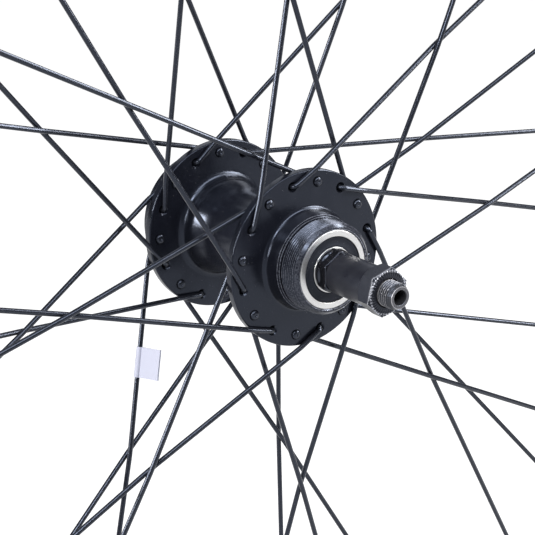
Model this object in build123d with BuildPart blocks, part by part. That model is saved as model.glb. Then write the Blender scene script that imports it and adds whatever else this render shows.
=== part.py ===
from build123d import *
import math
import os

os.makedirs("parts", exist_ok=True)

# Laced rear bicycle wheel without tyre: a disc hub with a screw-on freewheel seat.
# Frame: origin at the wheel centre, Y along the axle, drive side towards -Y, Z up.
# Sizes are millimetres. Angles lie in the XZ plane, from +X towards +Z.

# Axle and the faces that meet the frame
over_locknut_length = 135.0
axle_overhang = 6.5
axle_radius = 5.0
axle_thread_radius = 4.95
axle_chamfer = 1.0
axle_relief_radius = 4.6
axle_relief_width = 0.8
skewer_bore_radius = 2.75
locknut_face = over_locknut_length / 2
axle_end = locknut_face + axle_overhang

# Cartridge bearings: 10 x 30 x 9 mm
bearing_radius = 15.0
bearing_width = 9.0
bearing_edge = 0.35
inner_land_radius = 8.65
outer_land_radius = 12.65
raceway_radius = 10.0
raceway_shoulder_radius = 11.4
ball_radius = 2.38
ball_count = 8
groove_radius = 2.43
seal_thickness = 0.7
seal_recess = 0.35
seal_groove_end = 1.35
drive_bearing_face = -36.2
left_bearing_face = 54.5
cage_half_width = 3.0
cage_half_thickness = 0.9
running_gap = 0.05

# Hub shell
drive_shell_end = -36.4
left_shell_end = 54.7
flange_radius = 34.1
flange_thickness = 3.5
flange_edge_round = 0.6
flange_fillet = 2.5
barrel_fillet = 3.2
drive_flange_face = -20.2
left_flange_face = 38.85
drive_flange_inner = drive_flange_face + flange_thickness
left_flange_inner = left_flange_face - flange_thickness
thread_radius = 17.45
thread_lead_radius = 16.05
thread_start = -35.0
thread_end = -27.9
stop_face = -26.7
stop_radius = 18.5
stop_edge_round = 0.5
undercut_radius = 16.9
barrel_radius = 16.5
barrel_shoulder_radius = 17.4
barrel_shoulder_length = 5.0
barrel_waist_offset = 13.0
barrel_shoulder_blend = 8.0
barrel_waist_blend = 20.0
shell_cavity_radius = 13.2
rotor_face = 52.2
rotor_mount_radius = 26.3
rotor_mount_depth = 9.5
rotor_mount_round = 0.6
rotor_neck_radius = 21.0
rotor_neck_fillet = 1.2
rotor_spigot_radius = 16.95
rotor_spigot_round = 0.3
rotor_bolt_circle_radius = 22.0
rotor_bolt_count = 6
rotor_bolt_radius = 2.5
rotor_bolt_depth = 9.0

# Lacing: 16 spokes in each flange, each crossing three others
spoke_radius = 1.0
spoke_hole_radius = 1.3
spoke_circle_radius = 29.5
holes_per_flange = 16
hole_pitch = 360 / holes_per_flange
drive_hole_angle = 103.18
left_hole_angle = drive_hole_angle + hole_pitch / 2
crossings = 3
rim_lead = crossings * hole_pitch
last_crossing_lead = (2 * crossings - 1) * hole_pitch / 2
face_clearance = 0.03
elbow_radius = 1.5
edge_bend_radius = 20.0
crossing_bend_radius = 60.0
flat_run = 11.5
crossing_half_gap = spoke_radius + 0.05
drive_crossing = -13.4
left_crossing = 26.5
spoke_head_radius = 1.95
spoke_head_height = 1.1
spoke_end_reach = 1.5

# Nipples
nipple_radius = 1.95
nipple_head_radius = 2.9
nipple_length = 11.0
nipple_head_height = 2.2
nipple_seat_lift = 0.45
nipple_bore_radius = spoke_radius + 0.03

# Rim for a 622 mm bead seat: radii of its walls, and half widths at them
rim_bed_radius = 295.5
rim_bed_half_width = 6.0
spoke_seat_radius = 297.5
rim_belly_half_width = 9.0
rim_shoulder_radius = 304.0
rim_half_width = 12.0
rim_well_radius = 307.0
rim_well_half_width = 6.0
bead_seat_radius = 311.0
bead_shelf_half_width = 7.6
rim_hook_radius = 313.6
rim_channel_half_width = 10.6
rim_edge_radius = 317.0
rim_mouth_half_width = 9.6
rim_wall = 1.5
rim_hole_offset = 1.5
rim_hole_radius = 2.35
access_hole_radius = 4.4
rim_hole_cut = 8.0
valve_hole_radius = 3.25
valve_hole_cut = 20.0

# Collars, spacers and locknuts on the axle
collar_radius = 7.85
collar_edge = 0.3
drive_collar_end = -41.3
drive_collar_flats = 15.0
drive_collar_corner_radius = 8.35
drive_collar_phase = 32.0
left_collar_end = 59.0
sleeve_radius = 6.6
spacer_radius = 7.65
hexagon_overlap = 1.0
drive_hex_flats = 16.0
drive_hex_back = -59.9
drive_hex_phase = 17.0
drive_hex_run_out = 9.4
left_hex_flats = 17.0
left_hex_run_out = 4.0

# Paper tag folded round one left spoke
tag_length = 12.0
tag_reach = 12.0
tag_thickness = 0.7
tag_loop_radius = 1.4
tag_hole_index = 13
tag_distance = 50.0
tag_lean = 8.6


def turn(points, mode=Mode.ADD):
    """Revolve a closed half section about the axle. Points are (radius, y) or (radius, y, fillet)."""
    corners = [(point[0], point[1]) for point in points]
    fillets = [point[2] if len(point) > 2 else 0 for point in points]
    with BuildSketch(Plane.XY) as section:
        with BuildLine():
            FilletPolyline(*corners, radius=fillets, close=True)
        make_face()
    revolve(section.sketch, axis=Axis.Y, mode=mode)


def ring(inner, outer, start, end, edge=0.0):
    """Turn a plain ring, with an optional chamfer on its two outer edges."""
    corners = [(inner, start), (outer, start), (outer, end), (inner, end)]
    if edge:
        corners[1:3] = [
            (outer - edge, start),
            (outer, start + edge),
            (outer, end - edge),
            (outer - edge, end),
        ]
    turn(corners)


def bore(radius, start, end):
    """Cut a round hole along the axle, a little past each end."""
    turn([(0, start - 1), (radius, start - 1), (radius, end + 1), (0, end + 1)], mode=Mode.SUBTRACT)


def hexagon(flats, start, end, phase):
    """Extrude a hexagon along the axle."""
    with BuildSketch(Plane.XZ.offset(-start)) as outline:
        RegularPolygon(flats / 2, 6, major_radius=False, rotation=phase)
    extrude(outline.sketch, amount=start - end)


def polar(radius, angle, y):
    """Point at a radius and an angle round the axle."""
    turned = math.radians(angle)
    return Vector(radius * math.cos(turned), y, radius * math.sin(turned))


def around_axle(angles):
    """Locations that turn a piece drawn at angle 0 to each given angle."""
    return [Location((0, 0, 0), (0, -angle, 0)) for angle in angles]


def radial_planes(radius, angles, y):
    """Planes at a radius that face outwards from the axle."""
    return [Plane(origin=polar(radius, angle, y), z_dir=polar(1, angle, 0)) for angle in angles]


def write(part, name):
    part.label = name
    export_step(part, f"parts/{name}.step")


# ---------------------------------------------------------------- axle group

# The threaded ends are a little thinner than the seat of the bearings,
# with a relief groove just inside each locknut face.
axle_half_section = [
    (axle_radius, locknut_face - axle_relief_width),
    (axle_relief_radius, locknut_face - axle_relief_width),
    (axle_relief_radius, locknut_face),
    (axle_thread_radius, locknut_face),
    (axle_thread_radius, axle_end - axle_chamfer),
    (axle_thread_radius - axle_chamfer, axle_end),
    (skewer_bore_radius, axle_end),
]
with BuildPart() as axle:
    turn([(radius, -y) for radius, y in reversed(axle_half_section)] + axle_half_section)
write(axle.part, "axle")

# A thin hexagon nut whose corners are turned down a little.
with BuildPart() as drive_collar:
    hexagon(drive_collar_flats, drive_collar_end, drive_bearing_face, drive_collar_phase)
    turn(
        [
            (drive_collar_corner_radius, drive_collar_end - 1),
            (drive_collar_flats, drive_collar_end - 1),
            (drive_collar_flats, drive_bearing_face + 1),
            (drive_collar_corner_radius, drive_bearing_face + 1),
        ],
        mode=Mode.SUBTRACT,
    )
    bore(axle_radius, drive_collar_end, drive_bearing_face)
write(drive_collar.part, "drive_collar")

with BuildPart() as drive_spacer:
    hexagon(drive_hex_flats, -locknut_face, drive_hex_back, drive_hex_phase)
    turn(
        [
            (spacer_radius, drive_hex_back),
            (drive_hex_flats, drive_hex_back - drive_hex_run_out),
            (drive_hex_flats, drive_hex_back),
        ],
        mode=Mode.SUBTRACT,
    )
    ring(0, spacer_radius, hexagon_overlap - locknut_face, drive_collar_end, collar_edge)
    bore(axle_radius, -locknut_face, drive_collar_end)
write(drive_spacer.part, "drive_hex_spacer")

with BuildPart() as left_collar:
    ring(axle_radius, collar_radius, left_bearing_face, left_collar_end, collar_edge)
write(left_collar.part, "left_collar")

with BuildPart() as left_locknut:
    hexagon(left_hex_flats, left_collar_end, locknut_face, 0)
    turn(
        [
            (left_hex_flats / 2, left_collar_end),
            (left_hex_flats, left_collar_end),
            (left_hex_flats, left_collar_end + left_hex_run_out),
        ],
        mode=Mode.SUBTRACT,
    )
    bore(axle_radius, left_collar_end, locknut_face)
write(left_locknut.part, "left_locknut")

with BuildPart() as bearing_sleeve:
    ring(
        axle_radius,
        sleeve_radius,
        drive_bearing_face + bearing_width,
        left_bearing_face - bearing_width,
    )
write(bearing_sleeve.part, "bearing_sleeve")

# ---------------------------------------------------------------- bearings


def raceway(middle):
    """Cut the groove that the balls run in."""
    with BuildSketch(Plane.XY) as groove:
        with Locations((raceway_radius, middle)):
            Circle(groove_radius)
    revolve(groove.sketch, axis=Axis.Y, mode=Mode.SUBTRACT)


def inner_ring(start):
    """Inner ring with its ball groove, from one face along +Y."""
    ring(axle_radius, inner_land_radius, start, start + bearing_width, bearing_edge)
    raceway(start + bearing_width / 2)


def outer_ring(start):
    """Outer ring with a ball groove and a seat for each seal, from one face along +Y."""
    end = start + bearing_width
    turn(
        [
            (outer_land_radius, start),
            (bearing_radius - bearing_edge, start),
            (bearing_radius, start + bearing_edge),
            (bearing_radius, end - bearing_edge),
            (bearing_radius - bearing_edge, end),
            (outer_land_radius, end),
            (outer_land_radius, end - seal_groove_end),
            (raceway_shoulder_radius, end - seal_groove_end),
            (raceway_shoulder_radius, start + seal_groove_end),
            (outer_land_radius, start + seal_groove_end),
        ]
    )
    raceway(start + bearing_width / 2)


def seals(start):
    """Two rubber seals that close the gap between the rings."""
    far_seal = start + bearing_width - seal_recess - seal_thickness
    for face in (start + seal_recess, far_seal):
        ring(inner_land_radius + running_gap, outer_land_radius, face, face + seal_thickness)


ball_angles = [360 / ball_count * index for index in range(ball_count)]


def balls(middle):
    """The ring of balls."""
    with Locations([polar(raceway_radius, angle, middle) for angle in ball_angles]):
        Sphere(ball_radius)


def cage(middle):
    """Cage between the rings, with a round pocket for each ball."""
    ring(
        raceway_radius - cage_half_thickness,
        raceway_radius + cage_half_thickness,
        middle - cage_half_width,
        middle + cage_half_width,
    )
    with Locations(radial_planes(raceway_radius, ball_angles, middle)):
        Cylinder(ball_radius + running_gap, 2 * cage_half_width, mode=Mode.SUBTRACT)


bearing_starts = {
    "drive": drive_bearing_face,
    "left": left_bearing_face - bearing_width,
}
for side, start in bearing_starts.items():
    with BuildPart() as bearing_inner:
        inner_ring(start)
    write(bearing_inner.part, f"{side}_bearing_inner_ring")
    with BuildPart() as bearing_outer:
        outer_ring(start)
    write(bearing_outer.part, f"{side}_bearing_outer_ring")
    with BuildPart() as bearing_seals:
        seals(start)
    write(bearing_seals.part, f"{side}_bearing_seals")
    with BuildPart() as bearing_balls:
        balls(start + bearing_width / 2)
    write(bearing_balls.part, f"{side}_bearing_balls")
    with BuildPart() as bearing_cage:
        cage(start + bearing_width / 2)
    write(bearing_cage.part, f"{side}_bearing_cage")

# ---------------------------------------------------------------- hub shell

rotor_mount_start = rotor_face - rotor_mount_depth
drive_seat_end = drive_bearing_face + bearing_width
left_seat_start = left_bearing_face - bearing_width
with BuildPart() as hub_shell:
    turn(
        [
            (bearing_radius, drive_shell_end),
            (thread_lead_radius, drive_shell_end),
            (thread_radius, thread_start),
            (thread_radius, thread_end),
            (undercut_radius, thread_end),
            (undercut_radius, stop_face),
            (stop_radius, stop_face, stop_edge_round),
            (stop_radius, drive_flange_face, flange_fillet),
            (flange_radius, drive_flange_face, flange_edge_round),
            (flange_radius, drive_flange_inner, flange_edge_round),
            (barrel_shoulder_radius, drive_flange_inner, barrel_fillet),
            (
                barrel_shoulder_radius,
                drive_flange_inner + barrel_shoulder_length,
                barrel_shoulder_blend,
            ),
            (barrel_radius, drive_flange_inner + barrel_waist_offset, barrel_waist_blend),
            (barrel_radius, left_flange_inner - barrel_waist_offset, barrel_waist_blend),
            (
                barrel_shoulder_radius,
                left_flange_inner - barrel_shoulder_length,
                barrel_shoulder_blend,
            ),
            (barrel_shoulder_radius, left_flange_inner, barrel_fillet),
            (flange_radius, left_flange_inner, flange_edge_round),
            (flange_radius, left_flange_face, flange_edge_round),
            (rotor_neck_radius, left_flange_face, rotor_neck_fillet),
            (rotor_neck_radius, rotor_mount_start, rotor_neck_fillet),
            (rotor_mount_radius, rotor_mount_start, rotor_mount_round),
            (rotor_mount_radius, rotor_face, rotor_mount_round),
            (rotor_spigot_radius, rotor_face),
            (rotor_spigot_radius, left_shell_end, rotor_spigot_round),
            (bearing_radius, left_shell_end),
            (bearing_radius, left_seat_start),
            (shell_cavity_radius, left_seat_start),
            (shell_cavity_radius, drive_seat_end),
            (bearing_radius, drive_seat_end),
        ]
    )
    for first_angle, middle in (
        (drive_hole_angle, (drive_flange_face + drive_flange_inner) / 2),
        (left_hole_angle, (left_flange_face + left_flange_inner) / 2),
    ):
        angles = [first_angle - hole_pitch * index for index in range(holes_per_flange)]
        with Locations([polar(spoke_circle_radius, angle, middle) for angle in angles]):
            Cylinder(
                spoke_hole_radius,
                flange_thickness + 1,
                rotation=(90, 0, 0),
                mode=Mode.SUBTRACT,
            )
    bolt_angles = [360 / rotor_bolt_count * index for index in range(rotor_bolt_count)]
    bolt_middle = rotor_face - rotor_bolt_depth / 2
    with Locations([polar(rotor_bolt_circle_radius, angle, bolt_middle) for angle in bolt_angles]):
        Cylinder(rotor_bolt_radius, rotor_bolt_depth, rotation=(90, 0, 0), mode=Mode.SUBTRACT)
write(hub_shell.part, "hub_shell")

# ---------------------------------------------------------------- spokes and nipples


def at_crossing(direction):
    """Point in the plane y = 0 where a spoke from angle 0 meets the last spoke that it crosses."""
    hub = polar(spoke_circle_radius, 0, 0)
    seat = polar(spoke_seat_radius, direction * rim_lead, 0)
    slope = math.tan(math.radians(last_crossing_lead)) * direction
    share = slope * hub.X / ((seat.Z - hub.Z) - slope * (seat.X - hub.X))
    return hub + (seat - hub) * share


def spoke_route(direction, face, outward, crossing_y, rim_y):
    """Corners of one spoke: head, elbow, flange edge, last crossing, nipple seat."""
    head = polar(spoke_circle_radius, 0, face - outward * (flange_thickness + face_clearance))
    elbow = polar(spoke_circle_radius, 0, face + outward * (spoke_radius + face_clearance))
    flat_direction = (at_crossing(direction) - polar(spoke_circle_radius, 0, 0)).normalized()
    edge = elbow + flat_direction * flat_run
    crossing = at_crossing(direction) + Vector(0, crossing_y, 0)
    seat = polar(spoke_seat_radius, direction * rim_lead, rim_y)
    return head, elbow, edge, crossing, seat


def spoke(route):
    """One spoke with its head, from the head to just past its nipple seat."""
    head, elbow, edge, crossing, seat = route
    far_end = seat + (seat - crossing).normalized() * spoke_end_reach
    bends = [elbow_radius, edge_bend_radius, crossing_bend_radius]
    with BuildLine() as path:
        FilletPolyline(head, elbow, edge, crossing, far_end, radius=bends)
    start = Plane(origin=head, z_dir=elbow - head)
    with BuildSketch(start) as section:
        Circle(spoke_radius)
    sweep(section.sketch, path=path.line)
    with BuildSketch(start.offset(-spoke_head_height)) as head_disc:
        Circle(spoke_head_radius)
    extrude(head_disc.sketch, amount=spoke_head_height)


def nipple(route):
    """One nipple on the line of its spoke, with its head outside the spoke bed."""
    crossing, seat = route[-2:]
    along = (seat - crossing).normalized()
    head_base = Plane(origin=seat + along * nipple_seat_lift, z_dir=along)
    shank_start = nipple_head_height - nipple_length
    with BuildSketch(head_base.offset(shank_start)) as shank:
        Circle(nipple_radius)
    extrude(shank.sketch, amount=nipple_length)
    with BuildSketch(head_base) as head:
        Circle(nipple_head_radius)
    extrude(head.sketch, amount=nipple_head_height)
    with BuildSketch(head_base.offset(shank_start - 1)) as bore_circle:
        Circle(nipple_bore_radius)
    extrude(bore_circle.sketch, amount=nipple_length + 2, mode=Mode.SUBTRACT)


# A trailing spoke has its elbow on one side of the flange and runs towards smaller angles.
# A leading spoke has it on the other side and runs towards larger angles.
spoke_sets = {
    "drive_outer_spokes": (-1, drive_flange_face, -1, drive_crossing + crossing_half_gap, 0),
    "drive_inner_spokes": (1, drive_flange_inner, 1, drive_crossing - crossing_half_gap, 1),
    "left_inner_spokes": (-1, left_flange_inner, -1, left_crossing + crossing_half_gap, 0),
    "left_outer_spokes": (1, left_flange_face, 1, left_crossing - crossing_half_gap, 1),
}
nipples = {"drive": [], "left": []}
spoke_routes = {}
for name, (direction, face, outward, crossing_y, first) in spoke_sets.items():
    side = name.split("_")[0]
    first_angle = drive_hole_angle if side == "drive" else left_hole_angle
    rim_y = -rim_hole_offset if side == "drive" else rim_hole_offset
    angles = [first_angle - hole_pitch * index for index in range(first, holes_per_flange, 2)]
    spoke_routes[name] = spoke_route(direction, face, outward, crossing_y, rim_y)
    with BuildPart() as one_spoke:
        spoke(spoke_routes[name])
    with BuildPart() as spoke_group:
        with Locations(around_axle(angles)):
            add(one_spoke.part)
    write(spoke_group.part, name)
    with BuildPart() as one_nipple:
        nipple(spoke_routes[name])
    nipples[side].append((one_nipple.part, angles))

for side, kinds in nipples.items():
    with BuildPart() as nipple_group:
        for nipple_part, angles in kinds:
            with Locations(around_axle(angles)):
                add(nipple_part)
    write(nipple_group.part, f"{side}_nipples")

# ---------------------------------------------------------------- paper tag

edge, crossing = spoke_routes["left_outer_spokes"][2:4]
tag_run = (crossing - edge).normalized()
tag_middle = edge + tag_run * (tag_distance - flat_run)
lean = math.radians(tag_lean)
tag_side = Vector(-math.sin(lean), -math.cos(lean), 0)
tag_plane = Plane(
    origin=tag_middle,
    x_dir=tag_side - tag_run * tag_side.dot(tag_run),
    z_dir=tag_run,
)
with BuildPart() as flat_tag:
    with BuildSketch(tag_plane) as tag_section:
        Circle(tag_loop_radius)
        Rectangle(tag_reach, tag_thickness, align=(Align.MIN, Align.CENTER))
        Circle(nipple_bore_radius, mode=Mode.SUBTRACT)
    extrude(tag_section.sketch, amount=tag_length / 2, both=True)
with BuildPart() as spoke_tag:
    with Locations(around_axle([left_hole_angle - hole_pitch * tag_hole_index])):
        add(flat_tag.part)
write(spoke_tag.part, "spoke_tag")

# ---------------------------------------------------------------- rim

rim_half_section = [
    (rim_bed_radius, rim_bed_half_width, 2.0),
    (spoke_seat_radius, rim_belly_half_width, 1.5),
    (rim_shoulder_radius, rim_half_width, 3.0),
    (rim_edge_radius, rim_half_width, 0.7),
    (rim_edge_radius, rim_mouth_half_width, 0.5),
    (rim_hook_radius, rim_channel_half_width, 0.5),
    (bead_seat_radius, rim_channel_half_width, 0.3),
    (bead_seat_radius, bead_shelf_half_width, 1.0),
    (rim_well_radius, rim_well_half_width, 1.0),
]
cavity_half_section = [
    (spoke_seat_radius, rim_bed_half_width - 0.4, 0.8),
    (spoke_seat_radius + rim_wall, rim_belly_half_width - rim_wall, 1.0),
    (rim_shoulder_radius, rim_half_width - rim_wall, 1.0),
    (bead_seat_radius - rim_wall, rim_half_width - rim_wall, 0.6),
    (bead_seat_radius - rim_wall, bead_shelf_half_width + 0.4, 0.6),
    (rim_well_radius - rim_wall, rim_well_half_width + 0.2, 0.6),
]


def mirrored(half_section):
    """Close a half section with its mirror image on the other side of the wheel plane."""
    other = [(radius, -y, fillet_radius) for radius, y, fillet_radius in reversed(half_section)]
    return half_section + other


rim_shift = rim_lead % hole_pitch
drive_rim_angles = [drive_hole_angle + rim_shift - hole_pitch * index for index in range(holes_per_flange)]
left_rim_angles = [left_hole_angle + rim_shift - hole_pitch * index for index in range(holes_per_flange)]
valve_angle = drive_rim_angles[0] - hole_pitch / 4
with BuildPart() as rim:
    turn(mirrored(rim_half_section))
    turn(mirrored(cavity_half_section), mode=Mode.SUBTRACT)
    for angles, offset in ((drive_rim_angles, -rim_hole_offset), (left_rim_angles, rim_hole_offset)):
        with Locations(radial_planes(rim_bed_radius, angles, offset)):
            Cylinder(rim_hole_radius, rim_hole_cut, mode=Mode.SUBTRACT)
        with Locations(radial_planes(rim_well_radius, angles, offset)):
            Cylinder(access_hole_radius, rim_hole_cut, mode=Mode.SUBTRACT)
    with Locations(radial_planes(rim_shoulder_radius, [valve_angle], 0)):
        Cylinder(valve_hole_radius, valve_hole_cut, mode=Mode.SUBTRACT)
write(rim.part, "rim")
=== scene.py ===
import math

import bmesh
import bpy
import numpy as np
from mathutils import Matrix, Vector


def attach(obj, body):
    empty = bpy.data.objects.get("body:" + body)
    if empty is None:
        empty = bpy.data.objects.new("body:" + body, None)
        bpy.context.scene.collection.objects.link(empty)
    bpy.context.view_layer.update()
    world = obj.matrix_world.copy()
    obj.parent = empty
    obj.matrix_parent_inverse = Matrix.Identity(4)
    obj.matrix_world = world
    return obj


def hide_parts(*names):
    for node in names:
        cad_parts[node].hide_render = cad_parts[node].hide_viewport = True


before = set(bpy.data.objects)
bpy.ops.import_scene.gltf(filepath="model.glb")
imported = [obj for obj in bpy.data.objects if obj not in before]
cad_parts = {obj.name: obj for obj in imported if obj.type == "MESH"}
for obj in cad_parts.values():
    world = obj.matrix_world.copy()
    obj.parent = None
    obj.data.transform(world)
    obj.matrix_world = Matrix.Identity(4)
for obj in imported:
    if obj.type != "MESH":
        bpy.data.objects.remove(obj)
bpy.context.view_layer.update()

# Lengths below are in millimetres unless a name says otherwise; meshes are made in metres.
# The wheel's centre is the origin, Y runs along the axle, and -Y is the drive side.
MM = 0.001

# Hub shell, from the drive end to the rotor spigot
flange_radius = 34.1
flange_thickness = 3.5
flange_edge_round = 0.55
drive_flange_face = -20.2
drive_flange_inner = drive_flange_face + flange_thickness
left_flange_face = 38.85
left_flange_inner = left_flange_face - flange_thickness
drive_shell_end = -36.4
left_shell_end = 54.7
shell_bore_radius = 13.2
lip_width = 0.5
lip_round = 0.3
thread_radius = 17.45
thread_depth = 0.55
thread_pitch = 25.4 / 24
thread_start = -34.9
thread_end = -27.9
thread_lead_height = 1.4
undercut_radius = 16.9
stop_face = -26.7
stop_radius = 18.5
stop_step_width = 0.75
stop_step_depth = 0.55
boss_spread = 0.6
boss_fillet = 1.9
barrel_radius = 16.5
barrel_shoulder_radius = 18.8
barrel_fillet = 3.5
shoulder_width = 5.1
shoulder_round = 8
barrel_end_width = 12.5
barrel_end_round = 18
rotor_face = 52.2
rotor_mount_radius = 26.3
rotor_mount_depth = 9.5
rotor_neck_radius = 21.0
rotor_neck_fillet = 1.2
rotor_spigot_radius = 16.95
rotor_bolt_circle_radius = 22.0
rotor_bolt_radius = 2.5
rotor_bolt_depth = 9.0
rotor_bolt_count = 6
spoke_hole_radius = 1.35
spoke_hole_sink = 0.7

# Bearings
bearing_radius = 15.0
bearing_width = 9.0
inner_land_radius = 8.65
outer_land_radius = 12.65
race_radius = 11.4
seal_seat_depth = 1.15
drive_bearing_face = -36.2
left_bearing_face = 54.5

# Axle group
axle_end = 74.0
axle_radius = 5.0
axle_thread_radius = 4.95
axle_thread_pitch = 1.0
axle_thread_depth = 0.5
axle_face_radius = 4.05
skewer_bore_radius = 2.75
skewer_bore_chamfer = 0.18
collar_bore_radius = axle_radius + 0.02
locknut_face = 67.5
collar_radius = 7.85
drive_collar_end = -41.3
drive_collar_flats = 15.0
drive_collar_corner_radius = 8.35
drive_collar_phase = 32.0
left_collar_end = 59.0
spacer_radius = 7.65
drive_hex_flats = 16.0
drive_hex_corner_radius = 9.24
drive_hex_phase = 17.0
drive_hex_back = -59.9
drive_hex_run_out = 1.8
drive_hex_back_slope = 0.9
left_hex_flats = 17.0
left_hex_corner_radius = 9.7
left_hex_base_radius = 8.2

# Lacing
spoke_radius = 1.0
spoke_circle_radius = 29.5
spoke_seat_radius = 297.5
holes_per_flange = 16
hole_pitch = 360 / holes_per_flange
drive_hole_angle = 103.18
left_hole_angle = drive_hole_angle + hole_pitch / 2
rim_lead = 3 * hole_pitch
last_crossing_lead = 2.5 * hole_pitch
drive_crossing = -13.4
left_crossing = 26.5
crossing_half_gap = spoke_radius + 0.05
face_clearance = 0.03
flat_run = 11.5
rim_hole_offset = 1.5
head_bend_radius = 2.0
flange_bend_radius = 20.0
crossing_bend_radius = 60.0


# ---------------------------------------------------------------- mesh tools


def finish_mesh(name, verts, faces, sharp_angle=32.0):
    """Object from points in millimetres, with outward normals and sharp edges above an angle."""
    mesh = bpy.data.meshes.new(name)
    mesh.from_pydata([tuple(point * MM) for point in verts], [], faces)
    work = bmesh.new()
    work.from_mesh(mesh)
    bmesh.ops.remove_doubles(work, verts=work.verts, dist=1e-6)
    bmesh.ops.recalc_face_normals(work, faces=work.faces)
    work.to_mesh(mesh)
    work.free()
    mesh.shade_smooth()
    mesh.set_sharp_from_angle(angle=math.radians(sharp_angle))
    piece = bpy.data.objects.new(name, mesh)
    bpy.context.scene.collection.objects.link(piece)
    return piece


def ring_faces(rows, columns, closed_rows=True):
    """Quads that join rows of points, each row closed round the axle."""
    faces = []
    last = rows if closed_rows else rows - 1
    for row in range(last):
        here = row * columns
        there = (row + 1) % rows * columns
        for column in range(columns):
            following = (column + 1) % columns
            faces.append((here + column, here + following, there + following, there + column))
    return faces


def rounded(corners, steps=9):
    """Closed outline with each corner (radius, y, fillet) replaced by an arc."""
    points = []
    for index, corner in enumerate(corners):
        here = np.array(corner[:2], float)
        fillet = corner[2] if len(corner) > 2 else 0
        if not fillet:
            points.append(here)
            continue
        before = np.array(corners[index - 1][:2]) - here
        after = np.array(corners[(index + 1) % len(corners)][:2]) - here
        before /= np.linalg.norm(before)
        after /= np.linalg.norm(after)
        half = math.acos(float(np.clip(before @ after, -1, 1))) / 2
        middle = unit(before + after)
        centre = here + middle * fillet / math.sin(half)
        start = here + before * fillet / math.tan(half) - centre
        end = here + after * fillet / math.tan(half) - centre
        first = math.atan2(start[1], start[0])
        sweep = math.atan2(end[1], end[0]) - first
        sweep = (sweep + math.pi) % (2 * math.pi) - math.pi
        for step in range(steps + 1):
            angle = first + sweep * step / steps
            points.append(centre + fillet * np.array([math.cos(angle), math.sin(angle)]))
    return points


def turned(name, outline, columns=192, shape=None):
    """Revolve a closed outline of (radius, y) about the axle; shape may change the radius and y."""
    outline = np.array(outline, float)
    angles = np.linspace(0, 2 * math.pi, columns, endpoint=False)
    radius = np.repeat(outline[:, :1], columns, axis=1)
    along = np.repeat(outline[:, 1:], columns, axis=1)
    round_axle = np.repeat(angles[None, :], len(outline), axis=0)
    if shape:
        radius, along = shape(radius, along, round_axle)
    verts = np.stack([radius * np.cos(round_axle), along, radius * np.sin(round_axle)], -1)
    return finish_mesh(name, verts.reshape(-1, 3), ring_faces(len(outline), columns))


def ring_points(rows, angles):
    """Points of rows of (radius, y) at the given angles; a radius may change with the angle."""
    made = []
    for radius, y in rows:
        radius = radius + np.zeros(len(angles))
        y = y + np.zeros(len(angles))
        made.append(np.stack([radius * np.cos(angles), y, radius * np.sin(angles)], -1))
    return np.concatenate(made)


def steps_between(start, end, size):
    """Evenly spaced values from start to end, about size apart."""
    count = max(2, round(abs(end - start) / size) + 1)
    return np.linspace(start, end, count)


def screw(radius, along, angle, crest, depth, pitch):
    """Radius of a V thread at a place on its cylinder."""
    turn = (along / pitch - angle / (2 * math.pi)) % 1.0
    flank = np.abs(turn - 0.5) * 2
    return crest - depth * np.clip(1.15 * (1 - flank), 0, 1)


def tube(path, radius, sides=18):
    """Points and faces of a closed tube along a path of 3D points."""
    path = np.array(path, float)
    tangents = np.gradient(path, axis=0)
    tangents /= np.linalg.norm(tangents, axis=1)[:, None]
    not_along_any_path = (0.31, 0.2, 0.93)
    side = np.cross(tangents[0], not_along_any_path)
    verts = []
    for point, tangent in zip(path, tangents):
        side = side - tangent * (side @ tangent)
        side /= np.linalg.norm(side)
        other = np.cross(tangent, side)
        for step in range(sides):
            angle = 2 * math.pi * step / sides
            verts.append(point + radius * (math.cos(angle) * side + math.sin(angle) * other))
    faces = ring_faces(len(path), sides, closed_rows=False)
    faces.append(tuple(range(sides))[::-1])
    faces.append(tuple(range((len(path) - 1) * sides, len(path) * sides)))
    return np.array(verts), faces


def turn_points(points, angle):
    """Points turned about the axle by an angle in degrees, from +X towards +Z."""
    turned_by = math.radians(angle)
    cos, sin = math.cos(turned_by), math.sin(turned_by)
    x, y, z = points[:, 0], points[:, 1], points[:, 2]
    return np.stack([x * cos - z * sin, y, x * sin + z * cos], -1)


def joined(name, parts, sharp_angle=32.0):
    """One object from several (points, faces) parts."""
    verts, faces, count = [], [], 0
    for points, part_faces in parts:
        verts.append(points)
        faces += [tuple(count + index for index in face) for face in part_faces]
        count += len(points)
    return finish_mesh(name, np.concatenate(verts), faces, sharp_angle)


def cut(piece, cutter, sharp_angle=32.0):
    """Take the cutter's volume out of a piece, and remove the cutter."""
    modifier = piece.modifiers.new("cut", "BOOLEAN")
    modifier.operation = "DIFFERENCE"
    modifier.solver = "EXACT"
    modifier.object = cutter
    shaped = bpy.data.meshes.new_from_object(
        piece.evaluated_get(bpy.context.evaluated_depsgraph_get())
    )
    piece.modifiers.clear()
    piece.data = shaped
    shaped.shade_smooth()
    shaped.set_sharp_from_angle(angle=math.radians(sharp_angle))
    bpy.data.objects.remove(cutter)
    return piece


def unit(vector):
    """A vector of the same direction and length 1."""
    return vector / np.linalg.norm(vector)


def polar(radius, angle, y):
    """The point at a radius and an angle in degrees round the axle."""
    turned_by = math.radians(angle)
    return np.array([radius * math.cos(turned_by), y, radius * math.sin(turned_by)])


def place(piece, body, slot, material, *nodes):
    """Give a finished piece its body and material, and hide the CAD nodes it stands for; the slot
    is not used.
    """
    piece.data.materials.clear()
    piece.data.materials.append(material)
    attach(piece, body)
    if nodes:
        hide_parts(*nodes)


# ---------------------------------------------------------------- material tools


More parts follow.
